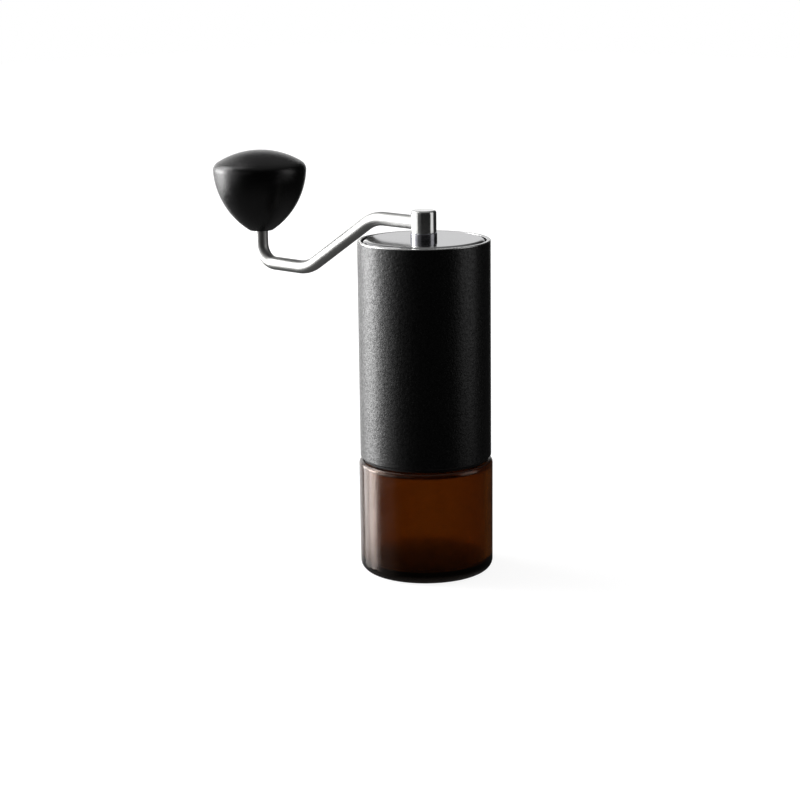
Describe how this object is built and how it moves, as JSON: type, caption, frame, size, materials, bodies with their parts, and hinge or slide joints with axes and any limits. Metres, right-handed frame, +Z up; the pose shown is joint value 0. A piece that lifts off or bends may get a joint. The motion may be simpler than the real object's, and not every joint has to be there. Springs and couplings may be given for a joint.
{
  "type": "hand crank coffee grinder",
  "caption": "Slim hand coffee grinder: black round body over a dark amber jar, polished lid with a bent crank and a domed knob, conical burrs, click dial and ball bearings inside.",
  "frame": {"origin": "middle of the jar's flat base, on the axis of the body", "axes": "+Z up along the body's axis, the crank points along -X at rest"},
  "size_m": [0.1377, 0.0532, 0.1617],
  "materials": {
    "amber_glass": "dark amber, clear, glossy",
    "black_coat": "black, finely textured, matt",
    "bare_aluminium": "turned, satin",
    "polished_steel": "polished stainless steel",
    "ground_steel": "ground and oiled steel",
    "black_plastic": "black, satin moulded plastic",
    "black_rubber": "soft black silicone",
    "white_nylon": "natural nylon"
  },
  "bodies": {
    "jar": {"jar": "amber_glass"},
    "seal": {"jar_seal_ring": "black_rubber"},
    "grinder_body": {"outer_sleeve": "black_coat", "inner_frame": "bare_aluminium", "upper_bridge": "bare_aluminium", "upper_bridge_ring": "ground_steel", "lower_bridge": "bare_aluminium", "lower_bridge_ring": "ground_steel", "upper_bearing_outer_race": "polished_steel", "lower_bearing_outer_race": "polished_steel", "outer_burr": "ground_steel", "outer_burr_screws": "ground_steel"},
    "upper_ball_set": {"upper_bearing_balls": "polished_steel", "upper_bearing_cage": "white_nylon"},
    "lower_ball_set": {"lower_bearing_balls": "polished_steel", "lower_bearing_cage": "white_nylon"},
    "drive": {"drive_shaft": "ground_steel", "shaft_clip": "ground_steel", "spring_seat_washer": "ground_steel", "upper_bearing_inner_race": "polished_steel", "lower_bearing_inner_race": "polished_steel", "burr_spring": "ground_steel"},
    "burr_cone": {"inner_burr": "ground_steel", "detent_plate": "ground_steel"},
    "adjuster": {"adjuster_dial": "bare_aluminium", "detent_balls": "polished_steel"},
    "lid": {"lid": "polished_steel", "lid_o_ring": "black_rubber", "lid_bush": "polished_steel"},
    "crank": {"crank_hub": "polished_steel", "crank_arm": "polished_steel", "drive_socket": "ground_steel", "socket_pin": "ground_steel", "thrust_washer": "white_nylon", "stem_clip": "ground_steel"},
    "knob": {"knob_body": "black_plastic", "knob_cap": "black_plastic", "knob_bush": "white_nylon"}
  },
  "joints": [
    {"name": "body_lift", "type": "slide", "parent": "jar", "child": "seal", "axis": [0, 0, 1], "range_m": [0, 0.008]},
    {"name": "body_unscrew", "type": "hinge", "parent": "seal", "child": "grinder_body", "pos_m": [0, 0, 0], "axis": [0, 0, 1], "range_deg": [0, 720]},
    {"name": "lid_lift", "type": "slide", "parent": "grinder_body", "child": "lid", "axis": [0, 0, 1], "range_m": [0, 0.03]},
    {"name": "crank_turn", "type": "hinge", "parent": "lid", "child": "crank", "pos_m": [0, 0, 0], "axis": [0, 0, 1], "continuous": true},
    {"name": "knob_spin", "type": "hinge", "parent": "crank", "child": "knob", "pos_m": [-0.0917, 0, 0], "axis": [0, 0, 1], "continuous": true},
    {"name": "shaft_turn", "type": "hinge", "parent": "grinder_body", "child": "drive", "pos_m": [0, 0, 0], "axis": [0, 0, 1], "continuous": true},
    {"name": "upper_ball_turn", "type": "hinge", "parent": "grinder_body", "child": "upper_ball_set", "pos_m": [0, 0, 0], "axis": [0, 0, 1], "continuous": true},
    {"name": "lower_ball_turn", "type": "hinge", "parent": "grinder_body", "child": "lower_ball_set", "pos_m": [0, 0, 0], "axis": [0, 0, 1], "continuous": true},
    {"name": "burr_adjust", "type": "slide", "parent": "drive", "child": "burr_cone", "axis": [0, 0, -1], "range_m": [0, 0.00112], "deforming": ["burr_spring"]},
    {"name": "dial_turn", "type": "hinge", "parent": "burr_cone", "child": "adjuster", "pos_m": [0, 0, 0], "axis": [0, 0, -1], "range_deg": [0, 540]}
  ],
  "couplings": [
    {"joint": "body_unscrew", "follows": "body_lift", "rad_per_m": 1570.8},
    {"joint": "shaft_turn", "follows": "crank_turn", "ratio": 1},
    {"joint": "upper_ball_turn", "follows": "crank_turn", "ratio": 0.37368},
    {"joint": "lower_ball_turn", "follows": "crank_turn", "ratio": 0.37368},
    {"joint": "dial_turn", "follows": "burr_adjust", "rad_per_m": 8377.6}
  ]
}
